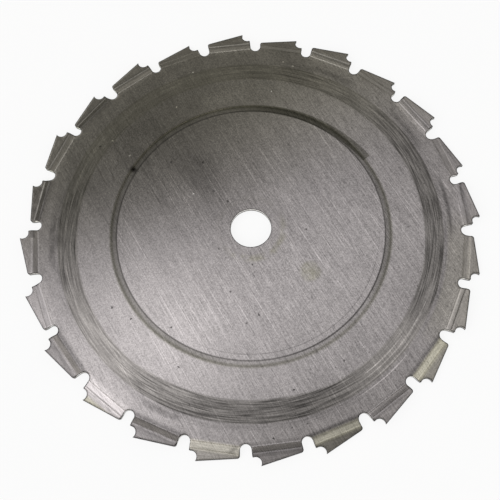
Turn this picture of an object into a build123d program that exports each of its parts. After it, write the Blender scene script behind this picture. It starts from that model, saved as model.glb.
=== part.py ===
from build123d import *
import math
import os

# Clearing saw blade: one disc of tempered sheet steel, punched out with its teeth, which are
# then set to alternate sides. Millimetres and degrees.
# The origin is the middle of the bore at half the sheet's thickness. +Z is the side that is seen,
# the tips point clockwise from there, and the first tooth, set towards +Z, has its tip over +X.

# Disc
TIP_CIRCLE = 225.0           # diameter over the tooth tips
SHEET = 1.8                  # thickness of the steel
BORE = 20.0                  # spindle hole
TEETH = 24                   # an even number, because they are set to alternate sides

# Outline of a tooth
TOOTH_HEIGHT = 9.6           # from the floor of the gullets to the tip
BACK_ANGLE = 15.0            # the back falls away behind the tip by this much
HEEL_ROUND = 1.2             # rounding of the corner at the rear end of the back
SCOOP_RADIUS = 2.75          # the scoop ahead of the tip fits a 5.5 mm round file
SCOOP_HOOK = 27.0            # undercut of the scoop below the tip
NIB_ROUND = 0.45             # rounding of the nib between the scoop and the gullet
GULLET_RADIUS = 2.6          # round bottom of the gullet
GULLET_LEAD = 6.45           # from the tip's radius ahead to the gullet's, along the floor
GULLET_FLARE = 8.0           # the wall below the nib leans out from the gullet's radius

# Set of a tooth: two folds across it, square to the radius through its middle, shift its face
# sideways and leave it parallel to the disc
ROOT_HEIGHT = 1.0            # from the floor of the gullets to the first fold
STRIP_WIDTH = 2.6            # from the first fold to the second, in plan
SET = 1.1                    # sideways shift of the face
FOLD_RADIUS = 1.5            # tight folds: bend radius at half the thickness

# Tension ring: a shallow track rolled into both sides, with a second pass over part of it
RING_RADIUS = 67.1           # middle of the track
RING_WIDTH = 2.9
RING_DEPTH = 0.08
PASS_WIDTH = 3.3
PASS_DEPTH = 0.12
PASS_START = 149.0           # the second pass starts on the ring, at this angle from +X,
PASS_LEAVES = 70.0           # goes clockwise and leaves the ring here
PASS_RUNOUT_RADIUS = 78.0    # on a wider arc, tangent to the ring,
PASS_RUNOUT_ARC = 34.5       # which turns by this much

PITCH = 360.0 / TEETH
TIP_RADIUS = TIP_CIRCLE / 2
GULLET_FLOOR = TIP_RADIUS - TOOTH_HEIGHT        # distances from the axis
ROOT_FOLD = GULLET_FLOOR + ROOT_HEIGHT
FACE_FOLD = ROOT_FOLD + STRIP_WIDTH
GULLET_ANGLE = math.degrees(GULLET_LEAD / GULLET_FLOOR)
GULLET_AHEAD = -GULLET_ANGLE                    # the gullets on both sides of the first tooth
GULLET_BEHIND = PITCH - GULLET_ANGLE
TOOTH_MIDDLE = (GULLET_AHEAD + GULLET_BEHIND) / 2
CORE_RADIUS = GULLET_FLOOR - SHEET              # inside this the disc is whole and flat
CLEAR_RADIUS = TIP_RADIUS + 4 * GULLET_RADIUS   # reach of the cuts, well past the tips


def polar(radius, angle):
    """Vector of this length, at an angle counter-clockwise from +X."""
    return Vector(radius, 0).rotate(Axis.Z, angle)


def back_line(angle):
    """Point on the straight line of the first tooth's back, seen from the axis at this angle."""
    return polar(TIP_RADIUS * math.cos(math.radians(BACK_ANGLE))
                 / math.cos(math.radians(angle - BACK_ANGLE)), angle)


def sector():
    """Ring sector that one tooth is cut from, between the middle lines of its two gullets."""
    wedge = Polyline((0, 0), polar(2 * CLEAR_RADIUS, GULLET_AHEAD), polar(2 * CLEAR_RADIUS, TOOTH_MIDDLE),
                     polar(2 * CLEAR_RADIUS, GULLET_BEHIND), close=True)
    return (Circle(CLEAR_RADIUS) - Circle(CORE_RADIUS)) & make_face(wedge)


def gullet(angle):
    """Slot with a round bottom and two straight walls, one of which leans out below the nib."""
    centre = polar(GULLET_FLOOR + GULLET_RADIUS, angle)
    nib_side = centre + polar(GULLET_RADIUS, angle + 90 + GULLET_FLARE)
    heel_side = centre + polar(GULLET_RADIUS, angle - 90)
    length = CLEAR_RADIUS - GULLET_FLOOR
    walls = Polyline(centre, nib_side, nib_side + polar(length, angle + GULLET_FLARE),
                     heel_side + polar(length, angle), heel_side, close=True)
    return Pos(centre) * Circle(GULLET_RADIUS) + make_face(walls)


def scoop():
    """Round notch filed ahead of the tip, which lies on its edge."""
    centre = Vector(TIP_RADIUS, 0) + polar(SCOOP_RADIUS, -90 - SCOOP_HOOK)
    return Pos(centre) * Circle(SCOOP_RADIUS)


def back_relief():
    """What is cut away outside the tooth's back, from gullet to gullet."""
    outwards = polar(CLEAR_RADIUS - GULLET_FLOOR, BACK_ANGLE)
    front = back_line(GULLET_AHEAD)
    rear = back_line(GULLET_BEHIND)
    return make_face(Polyline(front, rear, rear + outwards, front + outwards, close=True))


def tooth_outline():
    """Flat outline of the first tooth with the ring sector below it, heel and nib rounded."""
    outline = sector() - gullet(GULLET_AHEAD) - gullet(GULLET_BEHIND) - scoop() - back_relief()
    heel = outline.vertices().sort_by_distance(back_line(GULLET_BEHIND))[0]
    outline = fillet(heel, HEEL_ROUND)
    nib = outline.vertices().sort_by_distance(polar(TIP_RADIUS, GULLET_AHEAD))[0]
    return fillet(nib, NIB_ROUND)


def set_sheet():
    """Sheet that is flat at the tooth's root and shifted towards +Z by its two folds."""
    middle = FilletPolyline((0, 0), (ROOT_FOLD, 0), (FACE_FOLD, SET), (CLEAR_RADIUS, SET),
                            radius=FOLD_RADIUS)
    side_view = Plane(origin=(0, 0, 0), x_dir=polar(1, TOOTH_MIDDLE), z_dir=polar(1, TOOTH_MIDDLE - 90))
    return extrude(side_view * trace(middle, SHEET), CLEAR_RADIUS, both=True)


def first_tooth():
    """The first tooth: its outline cut out of the folded sheet."""
    return extrude(tooth_outline(), CLEAR_RADIUS - CORE_RADIUS, both=True) & set_sheet()


def teeth():
    """All teeth, every second one set to the other side."""
    towards = first_tooth()
    away = mirror(towards, about=Plane.XY)
    return [Rot(0, 0, k * PITCH) * (away if k % 2 else towards) for k in range(TEETH)]


def ring_track():
    """Plan of the tension ring."""
    return Circle(RING_RADIUS + RING_WIDTH / 2) - Circle(RING_RADIUS - RING_WIDTH / 2)


def second_pass():
    """Plan of the second pass, which follows the ring and then runs out of it."""
    on_ring = CenterArc((0, 0), RING_RADIUS, PASS_LEAVES, PASS_START - PASS_LEAVES)
    runout = JernArc(polar(RING_RADIUS, PASS_LEAVES), polar(1, PASS_LEAVES - 90),
                     PASS_RUNOUT_RADIUS, -PASS_RUNOUT_ARC)
    return trace([on_ring, runout], PASS_WIDTH)


def rolled(plan, depth):
    """A track of this plan and depth in the upper side, with its twin in the lower side."""
    track = Pos(0, 0, SHEET / 2 - depth) * extrude(plan, SHEET)
    return track + mirror(track, about=Plane.XY)


def blade():
    """The whole blade."""
    disc = extrude(Circle(CORE_RADIUS), SHEET / 2, both=True)
    disc = disc.fuse(*teeth()).clean()
    disc -= extrude(Circle(BORE / 2), SHEET, both=True)
    disc -= rolled(ring_track(), RING_DEPTH)
    disc -= rolled(second_pass(), PASS_DEPTH)
    return disc


os.makedirs("parts", exist_ok=True)
export_step(blade(), "parts/blade.step")
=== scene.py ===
import bpy
import math
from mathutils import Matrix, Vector


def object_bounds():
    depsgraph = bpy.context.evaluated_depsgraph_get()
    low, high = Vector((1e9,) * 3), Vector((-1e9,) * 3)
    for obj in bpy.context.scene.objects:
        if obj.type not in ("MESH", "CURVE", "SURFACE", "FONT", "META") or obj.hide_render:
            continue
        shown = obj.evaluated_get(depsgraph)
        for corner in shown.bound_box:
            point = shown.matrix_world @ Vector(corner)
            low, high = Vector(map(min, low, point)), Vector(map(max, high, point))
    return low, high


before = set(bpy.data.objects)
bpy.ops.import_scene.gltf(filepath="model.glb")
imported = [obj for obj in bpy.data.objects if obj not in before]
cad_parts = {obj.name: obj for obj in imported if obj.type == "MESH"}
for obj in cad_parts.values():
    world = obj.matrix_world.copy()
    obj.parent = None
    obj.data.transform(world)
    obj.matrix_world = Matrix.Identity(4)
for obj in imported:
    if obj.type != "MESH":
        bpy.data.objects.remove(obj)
cad_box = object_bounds()

# Saw blade: one disc of tempered spring steel sheet, 225 mm over the tips and 1.8 mm thick.
# It is belt-ground flat, punched out with its teeth, and the teeth are bent to alternate sides.
# A rolled track stretches the middle, and a wide band near the rim is rubbed round and round.
TEETH = 24
TOOTH_MIDDLE = 3.908          # degrees from the first tip back to the middle of that tooth
BORE = 10.0                   # distances from the axis in mm: the wall of the spindle hole,
TRACK_INNER = 65.65           # the rolled track,
TRACK_OUTER = 68.55
BAND_INNER = 84.5             # the rubbed band,
BAND_OUTER = 94.8
GULLET_FLOOR = 102.9          # the floor of the gullets,
ROOT_FOLD = 103.9             # where a tooth starts to bend,
FACE_FOLD = 106.5             # and where its steep strip ends
SET = 1.1                     # mm, how far a tooth's face is shifted sideways
PASS_HALF = 1.65              # the second pass of the roll is a little wider than the track
PASS_START = 149.0            # degrees; it starts on the track here
PASS_LEAVES = 70.0            # and leaves it here, on an arc of its own
PASS_ARC_RADIUS = 78.0
PASS_END = 35.5               # degrees round the centre of that arc
GRAIN = math.radians(118.0)   # direction of the belt's scratches, from +X


def colour(hex_code):
    """Linear colour of an sRGB hex code."""
    parts = [int(hex_code[i:i + 2], 16) / 255 for i in (1, 3, 5)]
    return [c / 12.92 if c <= 0.04045 else ((c + 0.055) / 1.055) ** 2.4 for c in parts] + [1.0]


def add(tree, kind, inputs, out=0, **settings):
    """Adds a node, sets or links its inputs by name or number, and returns one of its outputs."""
    made = tree.nodes.new(kind)
    for name, value in settings.items():
        setattr(made, name, value)
    for socket, value in inputs.items():
        if isinstance(value, bpy.types.NodeSocket):
            tree.links.new(value, made.inputs[socket])
        else:
            made.inputs[socket].default_value = value
    return made.outputs[out] if made.outputs else None


# Belt-ground spring steel: a dull grey metal with long straight scratches, which draw a reflection
# out across them. Oil and handling leave it a little warm.
steel = bpy.data.materials.new("belt_ground_spring_steel")
steel.use_nodes = True
tree = steel.node_tree
tree.nodes.clear()

# Places on the blade, in millimetres and degrees; side is 1 on top and -1 underneath
place = add(tree, "ShaderNodeTexCoord", {}, "Object")
place = add(tree, "ShaderNodeVectorMath", {0: place, "Scale": 1000.0}, operation="SCALE")
x, y, z = (add(tree, "ShaderNodeSeparateXYZ", {0: place}, axis) for axis in "XYZ")
sheet_normal = add(tree, "ShaderNodeNewGeometry", {}, "True Normal")
facing = add(tree, "ShaderNodeSeparateXYZ", {0: sheet_normal}, "Z")
side = add(tree, "ShaderNodeMath", {0: facing}, operation="SIGN")
on_top = add(tree, "ShaderNodeMath", {0: side, 1: 0.0}, operation="GREATER_THAN")
flat = add(tree, "ShaderNodeCombineXYZ", {0: x, 1: y})
radius = add(tree, "ShaderNodeVectorMath", {0: flat}, "Value", operation="LENGTH")
outward = add(tree, "ShaderNodeVectorMath", {0: flat}, operation="NORMALIZE")
turn = add(tree, "ShaderNodeMath", {0: y, 1: x}, operation="ARCTAN2")
turn = add(tree, "ShaderNodeMath", {0: turn}, operation="DEGREES")


def ease(value, start, end, low=0.0, high=1.0):
    """Soft step: one level before the start, the other after the end."""
    return add(tree, "ShaderNodeMapRange", {0: value, 1: start, 2: end, 3: low, 4: high},
               interpolation_type="SMOOTHSTEP")


def gap(distance, middle):
    """How far a distance is from the middle of a line, to either side."""
    off = add(tree, "ShaderNodeMath", {0: distance, 1: middle}, operation="SUBTRACT")
    return add(tree, "ShaderNodeMath", {0: off}, operation="ABSOLUTE")


def near_line(distance, middle, half_width):
    """Mask of a soft line: 1 where a distance is at the middle, 0 from the half width on."""
    return ease(gap(distance, middle), half_width, 0.0)


def stretches(*pairs):
    """Mask of stretches round the rim, each given by its middle angle and its half length."""
    mask = 0.0
    for middle, half_length in pairs:
        aim = (math.cos(math.radians(middle)), math.sin(math.radians(middle)), 0.0)
        near = add(tree, "ShaderNodeVectorMath", {0: outward, 1: aim}, "Value",
                   operation="DOT_PRODUCT")
        near = ease(near, math.cos(math.radians(half_length)),
                    math.cos(math.radians(half_length / 3)))
        mask = add(tree, "ShaderNodeMath", {0: near, 1: mask}, operation="MAXIMUM")
    return mask


def speckle(where, scale, low, high, detail=1.0):
    """Noise that is 0 below one level and 1 above another, at places scaled to its grain."""
    where = add(tree, "ShaderNodeVectorMath", {0: where, 1: scale}, operation="MULTIPLY")
    noise = add(tree, "ShaderNodeTexNoise", {"Vector": where, "Scale": 1.0, "Detail": detail,
                                             "Roughness": 0.6}, "Fac")
    return add(tree, "ShaderNodeMapRange", {0: noise, 1: low, 2: high})


def product(*factors):
    """Product of masks."""
    result = factors[0]
    for factor in factors[1:]:
        result = add(tree, "ShaderNodeMath", {0: result, 1: factor}, operation="MULTIPLY")
    return result


def sum_of(start, *terms):
    """A number plus masks, each times its share."""
    for mask, share in terms:
        start = add(tree, "ShaderNodeMath", {0: mask, 1: share, 2: start},
                    operation="MULTIPLY_ADD")
    return start


# Straight scratches of the belt, a few centimetres long. Real ones are under 0.1 mm wide; they are
# drawn 0.5 mm and wider, because finer ones can't show in a picture of the whole blade.
along = add(tree, "ShaderNodeVectorMath", {0: flat, 1: (math.cos(GRAIN), math.sin(GRAIN), 0)},
            "Value", operation="DOT_PRODUCT")
across = add(tree, "ShaderNodeVectorMath", {0: flat, 1: (math.sin(GRAIN), -math.cos(GRAIN), 0)},
             "Value", operation="DOT_PRODUCT")
belt = add(tree, "ShaderNodeCombineXYZ", {0: along, 1: across, 2: side})
towards_right = sum_of(0.0, (x, 0.7), (y, -0.7))
towards_left = sum_of(0.0, (x, -0.7), (y, -0.7))
fresh = ease(towards_right, -75.0, 15.0, 0.15)
hairs = speckle(belt, (1 / 8, 1 / 0.5, 7.0), 0.25, 0.75)
lines = speckle(belt, (1 / 17, 1 / 0.9, 5.0), 0.25, 0.75)
stripes = speckle(belt, (1 / 130, 1 / 7, 3.0), 0.25, 0.75)
scratched = add(tree, "ShaderNodeMath", {0: ease(radius, 69.0, 64.0), 1: fresh},
                operation="MAXIMUM")
light_scratch = product(speckle(belt, (1 / 55, 1 / 0.5, 3.0), 0.68, 0.76, 0.0), scratched)
dark_scratch = speckle(belt, (1 / 25, 1 / 0.6, 13.0), 0.32, 0.26, 0.0)

# Uneven finish: fine speckle everywhere, and cloudy patches a few centimetres wide
grit = speckle(place, (1.7, 1.7, 1.7), 0.25, 0.75)
clouds = speckle(place, (0.035, 0.035, 3.0), 0.3, 0.7, 4.0)
mottle = speckle(place, (0.22, 0.22, 1.0), 0.35, 0.65, 2.0)

# Punched walls show where the surface doesn't face up or down, and edges where it turns round.
# The rolled tracks are so shallow that their shoulders don't count as edges.
upright = add(tree, "ShaderNodeMath", {0: facing}, operation="ABSOLUTE")
wall = add(tree, "ShaderNodeMapRange", {0: upright, 1: 0.75, 2: 0.6})
cut = add(tree, "ShaderNodeMath",
          {0: ease(radius, BORE + 2.5, BORE + 1.5),
           1: ease(radius, GULLET_FLOOR - 4.9, GULLET_FLOOR - 2.9)}, operation="MAXIMUM")
EDGE_REACH = 0.0011           # metres from an edge over which it counts as turning
rounded = add(tree, "ShaderNodeBevel", {"Radius": EDGE_REACH}, samples=8)
edge_shade = add(tree, "ShaderNodeVectorMath", {0: rounded, 1: sheet_normal}, "Value",
           operation="DOT_PRODUCT")
edge_shade = product(ease(edge_shade, 0.98, 0.89), cut, ease(upright, 0.6, 0.75))

# Rubbed band near the rim: deepest at the right and the bottom, hardly there at the upper left.
# Its rings run all the way round; its finer circles, drawn 0.5 mm wide, come and go.
spread = sum_of(radius, (stretches((260, 34)), 1.3))
band = product(ease(spread, BAND_INNER, BAND_INNER + 1.4),
               ease(radius, BAND_OUTER, BAND_OUTER - 0.9))
skirt = product(ease(radius, BAND_OUTER - 0.9, BAND_OUTER),
                ease(radius, BAND_OUTER + 4.4, BAND_OUTER))
wear = sum_of(0.24, (stretches((2, 42)), 0.24), (stretches((266, 42)), 0.28),
              (stretches((182, 27)), 0.14), (stretches((128, 46)), -0.22),
              (stretches((315, 17)), -0.13))
worn = product(wear, sum_of(band, (skirt, 0.42)))
rings = 1.0                   # each has its radius, half width and tone
for ring_radius, half_width, level in ((86.0, 0.6, 0.84), (87.3, 0.5, 0.92), (88.9, 0.9, 0.92),
                                       (90.8, 0.8, 1.13), (92.1, 0.6, 0.92), (93.8, 0.6, 0.84)):
    rings = product(rings, sum_of(1.0, (near_line(radius, ring_radius, half_width), level - 1.0)))
circle_step = sum_of(radius, (side, 40.0))
circle_step = add(tree, "ShaderNodeCombineXYZ", {2: circle_step})
circle_step = add(tree, "ShaderNodeVectorMath", {0: circle_step, 1: outward}, operation="ADD")
circles = sum_of(-0.75, (speckle(circle_step, (7.0, 7.0, 1 / 0.5), 0.3, 0.7), 1.10),
                 (speckle(circle_step, (3.0, 3.0, 1 / 1.3), 0.25, 0.75), 0.40))
circles = product(circles, sum_of(0.15, (wear, 1.8)), sum_of(band, (skirt, 0.35)))
smears = product(ease(radius, BAND_OUTER + 0.6, BAND_OUTER + 1.6),
                 ease(radius, BAND_OUTER + 4.6, BAND_OUTER + 3.0),
                 stretches((32, 9), (61, 9), (181, 10), (243, 7)), sum_of(0.5, (mottle, 0.7)))
smears = sum_of(smears, (product(near_line(radius, 98.0, 1.8), stretches((4, 12))), 1.6))
bright_arcs = 0.0             # each has its radius, middle angle, half length and strength
for arc_radius, middle, half_length, strength in (
        (89.0, 310, 9, 1.0), (90.9, 316, 20, 0.5), (93.2, 313, 9, 0.5), (95.9, 307, 11, 0.8)):
    bright_arcs = sum_of(bright_arcs, (product(near_line(radius, arc_radius, 0.4),
                                               stretches((middle, half_length))), strength))

# Rolled track: a crisp dark line along its inner edge, a wider soft one along its outer edge, oil
# between them over half the turn, and a fine guide line inside it. The second pass is dark.
inner_line = near_line(radius, TRACK_INNER + 0.15, 0.65)
outer_line = near_line(radius, TRACK_OUTER - 0.1, 1.5)
track = product(ease(radius, TRACK_INNER - 0.3, TRACK_INNER + 0.3),
                ease(radius, TRACK_OUTER + 0.9, TRACK_OUTER - 0.3))
track = product(track, sum_of(0.16, (stretches((5, 45), (55, 45), (195, 42), (236, 24)), 0.28)))
guide_line = product(near_line(radius, 62.8, 0.4), sum_of(0.35, (stretches((300, 62)), 0.65)))
start_tick = product(near_line(turn, PASS_START, 2.0), near_line(radius, 67.8, 3.2))
leaving = math.radians(PASS_LEAVES)
middle_radius = (TRACK_INNER + TRACK_OUTER) / 2
arc_centre = ((middle_radius - PASS_ARC_RADIUS) * math.cos(leaving),
              (middle_radius - PASS_ARC_RADIUS) * math.sin(leaving), 0.0)
from_arc = add(tree, "ShaderNodeVectorMath", {0: flat, 1: arc_centre}, operation="SUBTRACT")
arc_radius = add(tree, "ShaderNodeVectorMath", {0: from_arc}, "Value", operation="LENGTH")
arc_x = add(tree, "ShaderNodeSeparateXYZ", {0: from_arc}, "X")
arc_y = add(tree, "ShaderNodeSeparateXYZ", {0: from_arc}, "Y")
arc_turn = add(tree, "ShaderNodeMath", {0: arc_y, 1: arc_x}, operation="ARCTAN2")
arc_turn = add(tree, "ShaderNodeMath", {0: arc_turn}, operation="DEGREES")
second_pass = 0.0
for distance, middle, where, start, end in (
        (arc_radius, PASS_ARC_RADIUS + 0.5, arc_turn, PASS_END, PASS_LEAVES),
        (radius, middle_radius + 0.2, turn, PASS_LEAVES, PASS_START)):
    width = ease(gap(distance, middle), PASS_HALF + 0.9, PASS_HALF + 0.3)
    after = add(tree, "ShaderNodeMath", {0: where, 1: start}, operation="GREATER_THAN")
    before = add(tree, "ShaderNodeMath", {0: where, 1: end}, operation="LESS_THAN")
    second_pass = add(tree, "ShaderNodeMath",
                      {0: product(width, after, before), 1: second_pass}, operation="MAXIMUM")
second_pass = product(second_pass, ease(turn, 62.0, 105.0, 0.50, 0.0))

# Teeth: each has its own number, and a distance from the axis along its own middle line.
# A bright line is painted inside each of its two folds, one on either side of the sheet, as a
# painted highlight where the bend catches light.
pitch = 360 / TEETH
number = add(tree, "ShaderNodeMath", {0: turn, 1: pitch / 2 - TOOTH_MIDDLE}, operation="ADD")
number = add(tree, "ShaderNodeMath", {0: number, 1: pitch}, operation="DIVIDE")
number = add(tree, "ShaderNodeMath", {0: number}, operation="FLOOR")
from_middle = add(tree, "ShaderNodeMath", {0: number, 1: -pitch, 2: turn}, operation="MULTIPLY_ADD")
from_middle = add(tree, "ShaderNodeMath", {0: from_middle, 1: TOOTH_MIDDLE}, operation="SUBTRACT")
from_middle = add(tree, "ShaderNodeMath", {0: from_middle}, operation="RADIANS")
reach = product(radius, add(tree, "ShaderNodeMath", {0: from_middle}, operation="COSINE"))
sideways = product(radius, add(tree, "ShaderNodeMath", {0: from_middle}, operation="SINE"))
odd = add(tree, "ShaderNodeMath", {0: number, 1: 2.0}, operation="FLOORED_MODULO")
underneath = add(tree, "ShaderNodeMapRange", {0: side, 1: 1.0, 2: -1.0})
set_away = add(tree, "ShaderNodeMath", {0: odd, 1: underneath}, operation="SUBTRACT")
set_away = add(tree, "ShaderNodeMath", {0: set_away}, operation="ABSOLUTE")
set_towards = add(tree, "ShaderNodeMath", {0: 1.0, 1: set_away}, operation="SUBTRACT")
crease = add(tree, "ShaderNodeMapRange", {0: set_away, 3: ROOT_FOLD, 4: FACE_FOLD + 0.3})
crease = near_line(reach, crease, 0.9)
strip = product(ease(reach, ROOT_FOLD + 0.6, ROOT_FOLD + 2.1),
                ease(reach, FACE_FOLD + 0.8, FACE_FOLD - 0.1))
bent = ease(reach, ROOT_FOLD - 0.8, ROOT_FOLD + 0.5)
face = ease(reach, FACE_FOLD, FACE_FOLD + 1.0)
# Height above the middle of the sheet, which is lifted or lowered where a tooth is set
lift = add(tree, "ShaderNodeMapRange", {0: reach, 1: ROOT_FOLD, 2: FACE_FOLD, 4: SET})
lift = product(lift, add(tree, "ShaderNodeMapRange", {0: odd, 3: -1.0, 4: 1.0}))
height = add(tree, "ShaderNodeMath", {0: z, 1: lift}, operation="ADD")
# The lower part of each wall is painted dark, partly as the zone the punch tore and partly as
# painted shade along the wall's bottom edge
torn_zone_and_shade = product(wall, ease(height, 0.3, -0.2))
root = near_line(reach, ROOT_FOLD - 1.3, 1.7)
ridge = near_line(reach, ROOT_FOLD, 1.1)
fold_edge = near_line(reach, FACE_FOLD + 0.1, 1.2)
lip = near_line(reach, FACE_FOLD + 0.6, 0.8)
slope = product(ease(reach, ROOT_FOLD - 0.2, ROOT_FOLD + 0.4),
                ease(reach, FACE_FOLD + 0.4, FACE_FOLD - 0.4))
press_lines = add(tree, "ShaderNodeCombineXYZ", {0: reach, 1: sideways, 2: number})
press_lines = speckle(press_lines, (1 / 0.7, 1 / 7, 3.3), 0.25, 0.75)
press_lines = product(sum_of(-0.5, (press_lines, 1.0)), bent)


def on_teeth(*numbers):
    """Mask of some teeth, counted round from the first one, both ways."""
    mask = 0.0
    for tooth in numbers:
        same = add(tree, "ShaderNodeMath", {0: number, 1: tooth, 2: 0.5}, operation="COMPARE")
        mask = add(tree, "ShaderNodeMath", {0: same, 1: mask}, operation="MAXIMUM")
    return product(mask, on_top)


# Painted light and shade on single teeth, where their bent parts catch more or less light:
# where on the tooth, which teeth, tone
tooth_light_and_shade = [
    (crease, (-5, 1), 1.30),
    (crease, (-12, -8, -6, 8, 10), 0.87),
    (root, (-10, -8, -3), 0.62),
    (root, (-6,), 0.75),
    (root, (-5,), 0.45),
    (root, (2,), 1.40),
    (root, (-9, 4, 6, 8, 10), 1.16),
    (root, (-11, -9), 1.08),
    (ridge, (9, 11), 0.30),
    (ridge, (-11, -9, -7), 1.60),
    (slope, (-10,), 1.85),
    (slope, (-8,), 1.50),
    (slope, (-3,), 1.20),
    (fold_edge, (9,), 0.90),
    (fold_edge, (-6,), 0.70),
    (fold_edge, (-4, -2, -1), 1.25),
    (lip, (9,), 0.75),
    (lip, (-4, -2), 0.88),
    (lip, (-9, -7, -3), 1.18),
    (lip, (-1, 1), 1.35),
    (face, (-10, -8, -6, 9), 0.82),
    (face, (-12, -11, -9, -2, 0, 2), 1.22),
    (face, (-4,), 1.12),
    (face, (-5,), 0.85),
    (bent, (-5,), 0.64),
    (product(face, ease(reach, 110.0, 107.0)), (-10, -8, -6), 0.72),
    (product(bent, mottle), (11,), 0.62),
]

# Painted highlights and painted shade in lines along the folds, where the bends catch light or
# fall dark: distance, half width, teeth, tone
FOLD_LIGHT_AND_SHADE_LINES = (
    (102.0, 1.4, (-11, -7, -6, -2, 2), 1.12),
    (102.6, 2.0, (9, 11), 0.84),
    (103.1, 0.8, (-10, -8, -4), 0.80),
    (103.7, 0.9, (-7, -5, -3), 1.36),
    (103.8, 0.8, (2, 8, 9, 10), 0.90),
    (104.0, 0.8, (-9,), 1.24),
    (104.1, 0.9, (-6, -4, -2), 1.30),
    (104.9, 0.9, (10,), 0.86),
    (105.2, 1.5, (-1,), 1.14),
    (105.5, 0.9, (9, 11), 1.24),
    (106.0, 0.7, (-4, -2), 1.34),
    (106.6, 0.8, (-8, -6, 0, 1, 8, 10, 11), 0.80),
    (106.7, 0.8, (-10, 2), 0.88),
    (106.7, 0.8, (-5, -3, -1), 1.32),
    (107.0, 0.9, (9,), 0.68),
    (107.1, 0.7, (-9, -7), 1.23),
    (107.4, 1.0, (-4, 0), 0.80),
    (108.7, 1.2, (-6, 10), 1.12),
)
for distance, half_width, teeth, level in FOLD_LIGHT_AND_SHADE_LINES:
    tooth_light_and_shade.append((near_line(reach, distance, half_width), teeth, level))

# Small marks on the top side, their places in millimetres: dark nicks and light flecks, both with
# a ragged outline, and fine pits in the steel
NICKS = ((-11, -32), (-36, -67), (-16, -10), (0, -19), (2, -44), (-4, -48), (40, -68), (-58, -43),
         (-39, -48), (-67, -37), (27, -2), (-18, 21), (-11, 15), (-39, 38), (-23, 37), (-75, 49),
         (16, -80), (6, -101))
FLECKS = ((-69, 52), (-60, 43), (-28, 20), (-36, 70), (-27, 91), (21, 95), (26, 92), (14, 77))
ragged = add(tree, "ShaderNodeTexNoise", {"Vector": place, "Scale": 1.3, "Detail": 1.0}, "Color")
ragged = add(tree, "ShaderNodeVectorMath", {0: ragged, 1: (1.2, 1.2, 0.0), 2: flat},
             operation="MULTIPLY_ADD")
ragged = add(tree, "ShaderNodeVectorMath", {0: ragged, 1: (0.6, 0.6, 0.0)}, operation="SUBTRACT")
ragged = add(tree, "ShaderNodeVectorMath", {0: ragged, 1: (1.0, 1.0, 0.0)}, operation="MULTIPLY")
marks = []
for places, size in ((NICKS, 0.75), (FLECKS, 0.65)):
    nearest = 100.0
    for spot in places:
        away = add(tree, "ShaderNodeVectorMath", {0: ragged, 1: (*spot, 0.0)}, "Value",
                   operation="DISTANCE")
        nearest = add(tree, "ShaderNodeMath", {0: away, 1: nearest}, operation="MINIMUM")
    marks.append(product(ease(nearest, size, size / 3), on_top))
nicks, flecks = marks
pits = add(tree, "ShaderNodeVectorMath", {0: place, 1: (0.11, 0.11, 1.0)}, operation="MULTIPLY")
pits = add(tree, "ShaderNodeTexVoronoi", {"Vector": pits, "Scale": 1.0}, "Distance")
pits = ease(pits, 0.06, 0.02)

# Stains on the top side: place, half size along and across the grain, tone
STAINS = (
    ("dark cloud", (-22.0, 30.0), (32.0, 13.0), 0.74),
    ("light cloud", (14.0, 17.0), (16.0, 9.0), 1.14),
    ("light cloud", (14.0, -78.0), (14.0, 14.0), 1.13),
    ("light cloud", (-14.0, 73.0), (9.0, 16.0), 1.25),
    ("light cloud", (-38.0, 84.0), (9.0, 7.0), 1.15),
    ("light cloud", (-72.0, 43.0), (34.0, 16.0), 1.16),
    ("light smudge", (-98.5, 18.0), (4.0, 3.0), 1.25),
    ("oil", (-94.0, -2.0), (9.0, 5.0), 0.72),
    ("oil", (25.0, 96.0), (30.0, 12.0), 0.85),
    ("oil", (-12.0, -104.8), (1.8, 4.5), 0.55),
)
stains = 1.0
for name, middle, size, tone in STAINS:
    away = add(tree, "ShaderNodeVectorMath", {0: flat, 1: (*middle, 0.0)}, operation="SUBTRACT")
    lengthwise = add(tree, "ShaderNodeVectorMath",
                     {0: away, 1: (math.cos(GRAIN) / size[0], math.sin(GRAIN) / size[0], 0)},
                     "Value", operation="DOT_PRODUCT")
    crosswise = add(tree, "ShaderNodeVectorMath",
                    {0: away, 1: (math.sin(GRAIN) / size[1], -math.cos(GRAIN) / size[1], 0)},
                    "Value", operation="DOT_PRODUCT")
    away = add(tree, "ShaderNodeCombineXYZ", {0: lengthwise, 1: crosswise})
    away = add(tree, "ShaderNodeVectorMath", {0: away}, "Value", operation="LENGTH")
    stains = product(stains, ease(sum_of(away, (clouds, 0.6)), 1.3, 0.3, 1.0, tone))
washer_mark = product(near_line(radius, 16.0, 2.8), sum_of(0.1, (stretches((300, 95)), 0.8)),
                      mottle)
dull_patch = add(tree, "ShaderNodeVectorMath", {0: flat, 1: (27.5, -23.8, 0.0)}, "Value",
                 operation="DISTANCE")
dull_patch = product(ease(dull_patch, 6.2, 3.6), sum_of(0.3, (mottle, 0.6)), on_top)

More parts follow.
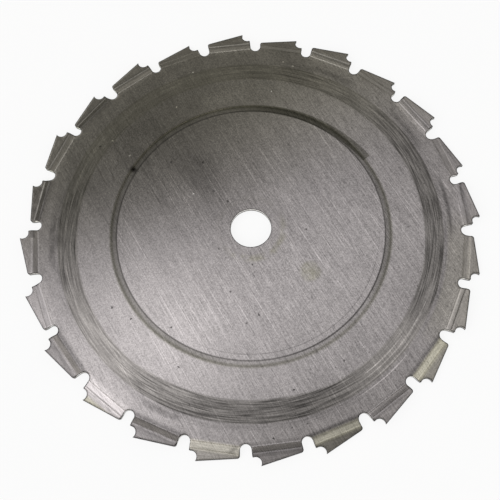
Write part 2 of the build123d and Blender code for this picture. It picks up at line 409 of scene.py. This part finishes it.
# Tone: everything that darkens or lightens the bare metal. Each mask has the tone it ends at.
# The grain is strongest where the grinding is still fresh, away from the upper left.
grain = sum_of(0.0, (product(sum_of(-0.5, (hairs, 1.0)), sum_of(0.1, (fresh, 1.0))), 0.50),
               (product(sum_of(-0.5, (lines, 1.0)), fresh), 0.17),
               (sum_of(-0.5, (stripes, 1.0)), 0.14))
grain = product(sum_of(grain, (sum_of(-0.5, (grit, 1.0)), 0.64)),
                ease(towards_left, 0.0, 60.0, 1.0, 0.8))
grain = product(grain, sum_of(1.0, (band, -0.3), (bent, -0.4)))
tone = sum_of(1.0, (grain, 1.0), (press_lines, 0.35))
tone = product(tone, sum_of(1.0, (circles, 1.0)), sum_of(1.0, (worn, -1.0)), rings)
for mask, level in (
    (smears, 0.68),
    (bright_arcs, 2.10),
    (track, 0.0),
    (inner_line, 0.45),
    (product(inner_line, stretches((316, 42))), 0.60),
    (outer_line, 0.66),
    (guide_line, 0.66),
    (start_tick, 0.05),
    (second_pass, 0.0),
    (product(light_scratch, sum_of(1.0, (bent, -0.8))), 1.32),
    (dark_scratch, 0.85),
    # Painted highlight along the creases of the folds
    (crease, 1.02),
    # Painted shade: the steep strip is darker on the side each tooth is set towards, but not on
    # four teeth
    (product(strip, set_towards, sum_of(1.0, (on_teeth(-12, -10, -8, -6), -1.0))), 0.64),
    (washer_mark, 0.86),
    (dull_patch, 0.84),
    # Painted highlights and painted shade on single teeth and along their folds
    *((product(where, on_teeth(*teeth)), level) for where, teeth, level in tooth_light_and_shade),
    (nicks, 0.22),
    (pits, 0.50),
    (flecks, 2.9),
    # Painted shade: a dark line along the edges of the punched outline
    (edge_shade, 0.0),
    # Painted shade along the bottom of the walls, where they are also torn
    (torn_zone_and_shade, 0.10),
    # Painted shade: the walls near the tips of the teeth are painted darker
    (product(wall, ease(radius, 106.0, 108.5)), 0.35),
):
    tone = product(tone, sum_of(1.0, (mask, level - 1.0)))
tone = product(tone, sum_of(0.95, (clouds, 0.10)))
tone = product(tone, add(tree, "ShaderNodeMix", {"Factor": on_top, 2: 1.0, 3: stains}, "Result"))

# Colour: bare steel, a brighter wall (burnished by the punch, and made near white as a painted
# highlight; its lower half is torn, and painted dark as shade in the tone above), and a film of
# old lacquer left on three of the teeth
bare = add(tree, "ShaderNodeMix", {"Factor": wall, 6: colour("#9f9a9a"), 7: colour("#ece8e2")},
           "Result", data_type="RGBA")
lacquer = product(sum_of(0.0, (on_teeth(-3, -5), 0.65), (on_teeth(-7), 0.4)),
                  ease(reach, 102.3, 104.5),
                  ease(reach, FACE_FOLD, FACE_FOLD + 2.5, 1.0, 0.45))
bare = add(tree, "ShaderNodeMix", {"Factor": lacquer, 6: bare, 7: colour("#bcb8a3")}, "Result",
           data_type="RGBA")
tint = add(tree, "ShaderNodeCombineColor", {0: tone, 1: tone, 2: tone})
tinted = add(tree, "ShaderNodeMix", {"Factor": 1.0, 6: bare, 7: tint}, "Result",
             data_type="RGBA", blend_type="MULTIPLY")
oil_film = ease(sum_of(0.0, (x, -0.3), (y, 0.95)), 5.0, 80.0)
soiled = add(tree, "ShaderNodeMath", {
    0: sum_of(0.0, (washer_mark, 0.8), (dull_patch, 0.8), (band, 0.20), (outer_line, 0.4),
              (second_pass, 0.6), (track, 0.45), (oil_film, 0.60),
              (product(ease(radius, 95.0, 97.0), stretches((342, 22)), on_top), 0.35),
              (product(on_teeth(-9), ease(reach, 108.5, 110.5)), 0.8)), 1: 1.0},
    operation="MINIMUM")
tinted = add(tree, "ShaderNodeMix", {"Factor": soiled, 6: tinted, 7: colour("#f8fae2")},
             "Result", data_type="RGBA", blend_type="MULTIPLY")

# The scratches draw reflections out across them, and the sheared walls are a little rougher
tangent = add(tree, "ShaderNodeCombineXYZ", {0: math.sin(GRAIN), 1: -math.cos(GRAIN), 2: 0.0})
roughness = sum_of(0.17, (hairs, 0.04), (lines, 0.02), (wall, 0.20))
DEPTH = 0.000003              # metres, of a scratch
relief = product(sum_of(0.0, (hairs, 1.0), (lines, 1.0)), DEPTH)
softened = ease(radius, GULLET_FLOOR - 1.9, GULLET_FLOOR - 0.4)
softened = add(tree, "ShaderNodeMix", {"Factor": softened, 4: sheet_normal, 5: rounded}, "Result",
               data_type="VECTOR")
surface = add(tree, "ShaderNodeBump", {"Strength": 1.0, "Distance": 1.0, "Height": relief,
                                       "Normal": softened})
shader = add(tree, "ShaderNodeBsdfPrincipled",
             {"Base Color": tinted, "Metallic": 1.0, "Roughness": roughness, "Anisotropic": 0.4,
              "Tangent": tangent, "Normal": surface})
add(tree, "ShaderNodeOutputMaterial", {"Surface": shader})

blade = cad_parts["blade"]
for slot in blade.material_slots:
    slot.material = steel

# Floor: a white table that the blade lies on, its down-set tips touching it.
# It looks white to the camera and in the metal, and keeps the blade's soft shadow.
paper = bpy.data.materials.new("matt_white_board")
paper.use_nodes = True
tree = paper.node_tree
tree.nodes.clear()
seen = add(tree, "ShaderNodeLightPath", {}, "Is Camera Ray")
seen = add(tree, "ShaderNodeMath", {0: seen, 1: add(tree, "ShaderNodeLightPath", {},
                                                    "Is Glossy Ray")}, operation="MAXIMUM")
seen = add(tree, "ShaderNodeMath", {0: seen, 1: add(tree, "ShaderNodeLightPath", {},
                                                    "Is Transmission Ray")}, operation="MAXIMUM")
glow = add(tree, "ShaderNodeEmission", {"Color": colour("#ffffff"), "Strength": 1.0})
matt = add(tree, "ShaderNodeBsdfDiffuse", {"Color": colour("#f4f4f4")})
share = add(tree, "ShaderNodeMath", {0: seen, 1: 0.85}, operation="MULTIPLY")
look = add(tree, "ShaderNodeMixShader", {0: share, 1: matt, 2: glow})
add(tree, "ShaderNodeOutputMaterial", {"Surface": look})
half = 3.0                    # metres, well past the edges of the picture
board = bpy.data.meshes.new("floor")
level = cad_box[0].z
board.from_pydata([(-half, -half, level), (half, -half, level), (half, half, level),
                   (-half, half, level)], [], [(0, 1, 2, 3)])
board.materials.append(paper)
floor = bpy.data.objects.new("floor", board)
bpy.context.scene.collection.objects.link(floor)

# Studio: a bright room with an open ceiling. The ground steel mirrors the ceiling, so its lamps and
# its dark openings are soft patches of light and dark in the sky, with a broad fill from the south.
world = bpy.data.worlds.new("soft_studio")
bpy.context.scene.world = world
world.use_nodes = True
tree = world.node_tree
tree.nodes.clear()
direction = add(tree, "ShaderNodeTexCoord", {}, "Generated")
light = 0.85
PATCHES = (                   # east and north per unit of height, tightness, strength
    ("opening", -0.215, 0.32, 53.0, -3.4),
    ("long lamp beside it", -0.20, 0.27, 70.0, 5.0),
    ("lamp north", 0.09, 0.34, 50.0, 1.0),
    ("lamp north-west", -0.72, 0.73, 20.0, 1.6),
    ("window west", -1.45, -0.58, 8.2, 3.05),
    ("dark west wall", -1.55, -0.35, 1.0, -1.45),
    ("fill south", 0.3, -2.4, 3.0, 1.5),
)
for name, east, north, tightness, strength in PATCHES:
    aim = Vector((east, north, 1.0)).normalized()
    near = add(tree, "ShaderNodeVectorMath", {0: direction, 1: aim}, "Value",
               operation="DOT_PRODUCT")
    near = add(tree, "ShaderNodeMath", {0: near, 1: tightness, 2: -tightness},
               operation="MULTIPLY_ADD")
    near = add(tree, "ShaderNodeMath", {0: near}, operation="EXPONENT")
    light = add(tree, "ShaderNodeMath", {0: near, 1: strength, 2: light},
                operation="MULTIPLY_ADD")
light = add(tree, "ShaderNodeMath", {0: light, 1: 0.0}, operation="MAXIMUM")
seen = add(tree, "ShaderNodeLightPath", {}, "Is Camera Ray")
light = add(tree, "ShaderNodeMix", {"Factor": seen, 2: light, 3: 1.0}, "Result")
warmth = add(tree, "ShaderNodeMapRange", {0: light, 1: 0.8, 2: 0.2})
tint = add(tree, "ShaderNodeMix", {"Factor": warmth, 6: colour("#ffffff"), 7: colour("#fefcf2")},
           "Result", data_type="RGBA")
sky = add(tree, "ShaderNodeBackground", {"Color": tint, "Strength": light})
add(tree, "ShaderNodeOutputWorld", {"Surface": sky})

# Camera: above the near edge, 68 degrees up
lens = bpy.data.cameras.new("camera")
lens.lens = 54.0
lens.shift_x = -0.0440
lens.shift_y = -0.0088
camera = bpy.data.objects.new("camera", lens)
camera.location = (0.0041, -0.1390, 0.3414)
camera.rotation_euler = (math.radians(20.8), math.radians(0.14), math.radians(-2.9))
bpy.context.scene.collection.objects.link(camera)
bpy.context.scene.camera = camera

bpy.context.scene.view_settings.view_transform = "Standard"
